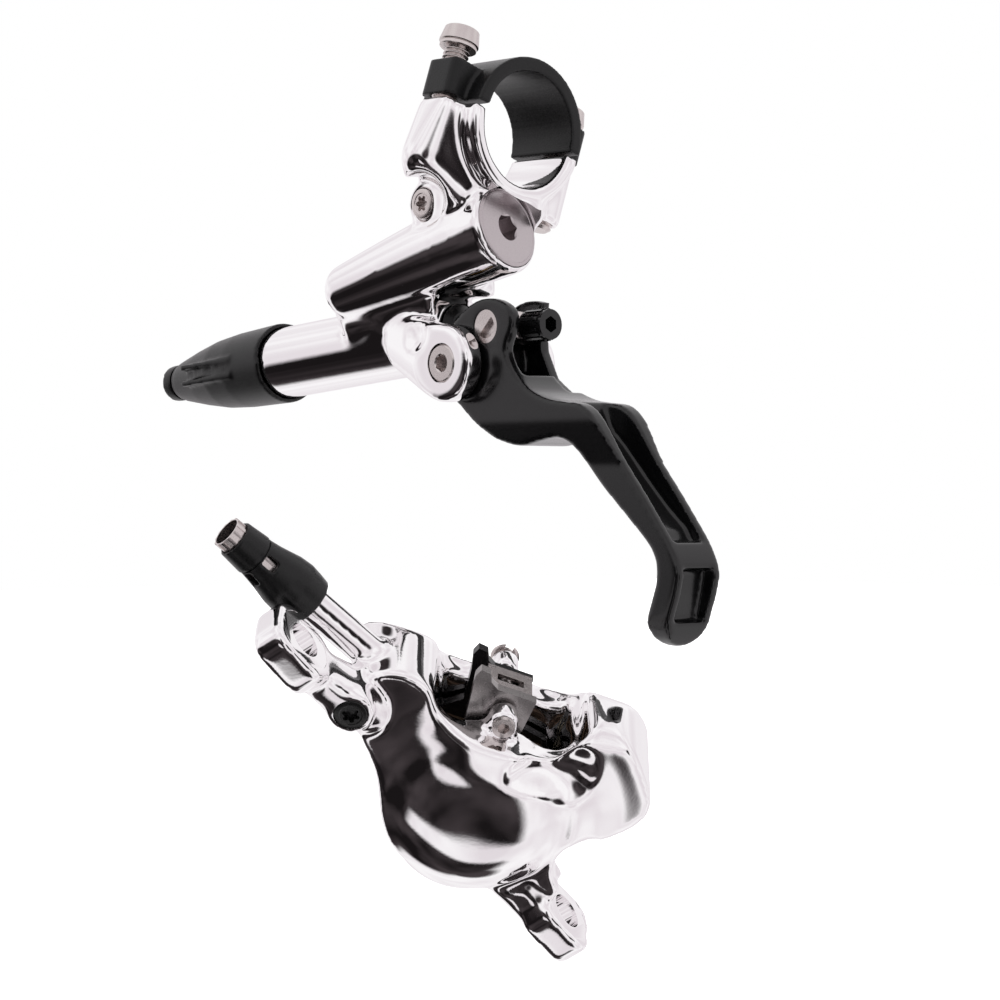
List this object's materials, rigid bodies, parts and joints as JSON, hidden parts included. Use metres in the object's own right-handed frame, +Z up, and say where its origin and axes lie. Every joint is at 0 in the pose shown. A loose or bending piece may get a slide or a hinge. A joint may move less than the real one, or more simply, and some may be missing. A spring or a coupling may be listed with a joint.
{
  "type": "hydraulic disc brake",
  "caption": "Bicycle disc brake set: clamp-on lever with master cylinder and reservoir, and a post-mount caliper with pads and a window, no hose.",
  "frame": {"origin": "centre of the handlebar bore in the lever's clamp", "axes": "+X along the handlebar towards its end, +Z up, in the attitude of the picture"},
  "size_m": [0.1588, 0.1037, 0.174],
  "materials": {
    "polished_aluminium": "mirror polished",
    "black_anodised": "gloss black anodised",
    "steel_screw": "satin",
    "satin_cap": "satin",
    "moulded_rubber": "matte",
    "boot_plastic": "satin black, moulded",
    "black_steel": "black oxide",
    "bronze": "satin",
    "master_alloy": "hard anodised",
    "piston_resin": "phenolic resin",
    "plate_steel": "zinc plated",
    "lining": "sintered friction material"
  },
  "bodies": {
    "housings": {"lever_body": "polished_aluminium", "clamp_cap": "black_anodised", "clamp_bolt_near": "steel_screw", "clamp_bolt_far": "steel_screw", "reservoir_cap": "satin_cap", "reservoir_cap_seal": "moulded_rubber", "reservoir_bladder": "moulded_rubber", "lever_bleed_screw": "steel_screw", "lever_bleed_seal": "moulded_rubber", "pivot_screw": "steel_screw", "dust_boot": "moulded_rubber", "piston_stop_ring": "steel_screw", "return_spring": "steel_screw", "lever_hose_nut": "steel_screw", "lever_hose_boot": "boot_plastic", "caliper_body": "polished_aluminium", "bore_cap": "satin_cap", "bore_cap_seal": "moulded_rubber", "piston_seal_near": "moulded_rubber", "piston_seal_far": "moulded_rubber", "pad_spring": "steel_screw", "pad_pin": "steel_screw", "pad_pin_clip": "steel_screw", "caliper_bleed_screw": "black_steel", "caliper_bleed_seal": "moulded_rubber", "hose_fitting": "steel_screw", "caliper_hose_boot": "boot_plastic"},
    "lever": {"lever_blade": "black_anodised", "pivot_bushings": "bronze"},
    "barrel": {"barrel_pin": "steel_screw"},
    "adjuster": {"pushrod": "steel_screw", "reach_knob": "black_anodised"},
    "master": {"master_piston": "master_alloy", "primary_cup": "moulded_rubber", "secondary_cup": "moulded_rubber"},
    "pad_near": {"piston_near": "piston_resin", "pad_plate_near": "plate_steel", "pad_lining_near": "lining"},
    "pad_far": {"piston_far": "piston_resin", "pad_plate_far": "black_anodised", "pad_lining_far": "lining"}
  },
  "joints": [
    {"name": "lever_pull", "type": "hinge", "parent": "housings", "child": "lever", "pos_m": [-0.0038, 0, -0.0445], "axis": [0, -1, 0], "range_deg": [0, 20], "stiffness_Nm_per_rad": 0.4, "springref_deg": -28.65},
    {"name": "barrel_turn", "type": "hinge", "parent": "lever", "child": "barrel", "pos_m": [0.0033, 0, -0.0376], "axis": [0, -1, 0], "range_deg": [-16, 2]},
    {"name": "reach_adjust", "type": "hinge", "parent": "barrel", "child": "adjuster", "pos_m": [0.0033, 0, -0.0376], "axis": [0.9998, 0, 0.0212], "range_deg": [-360, 360]},
    {"name": "master_stroke", "type": "slide", "parent": "housings", "child": "master", "axis": [-0.9962, 0, -0.0872], "range_m": [0, 0.0028], "deforming": ["return_spring"]},
    {"name": "pad_near_stroke", "type": "slide", "parent": "housings", "child": "pad_near", "axis": [-0.6095, 0.5846, 0.5355], "range_m": [0, 0.0003]},
    {"name": "pad_far_stroke", "type": "slide", "parent": "housings", "child": "pad_far", "axis": [0.6095, -0.5846, -0.5355], "range_m": [0, 0.0003]}
  ],
  "couplings": [
    {"joint": "barrel_turn", "follows": "lever_pull", "ratio": -0.695},
    {"joint": "master_stroke", "follows": "lever_pull", "m_per_rad": 0.00754},
    {"joint": "pad_near_stroke", "follows": "lever_pull", "m_per_rad": 0.0008},
    {"joint": "pad_far_stroke", "follows": "lever_pull", "m_per_rad": 0.0008}
  ]
}
